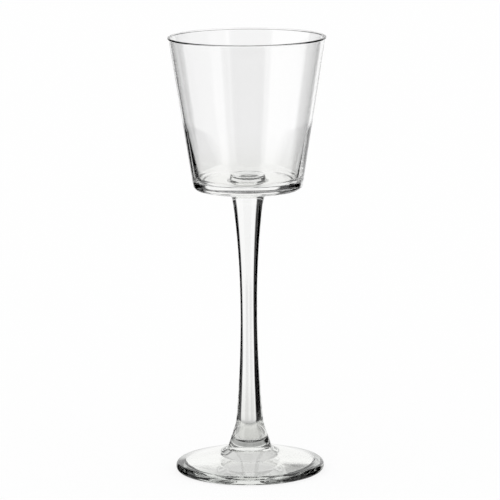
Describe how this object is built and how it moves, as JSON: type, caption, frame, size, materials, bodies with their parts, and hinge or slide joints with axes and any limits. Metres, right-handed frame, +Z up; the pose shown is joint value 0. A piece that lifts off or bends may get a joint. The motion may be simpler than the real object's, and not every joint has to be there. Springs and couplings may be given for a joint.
{
  "type": "goblet",
  "caption": "Tall clear glass goblet: a straight tapered bowl with a beaded rim and heavy base, a long waisted solid stem and a round flared foot, for serving wine or water.",
  "frame": {"origin": "centre of the foot's resting ring, on the plane the goblet stands on", "axes": "+Z up along the stem, from the foot to the rim; +X and +Y are any two directions square to it, since the goblet is round"},
  "size_m": [0.0804, 0.0804, 0.2242],
  "materials": {
    "clear_glass": "fire-polished clear soda-lime glass"
  },
  "bodies": {
    "root": {"bowl": "clear_glass", "stem": "clear_glass", "foot": "clear_glass"}
  },
  "joints": []
}
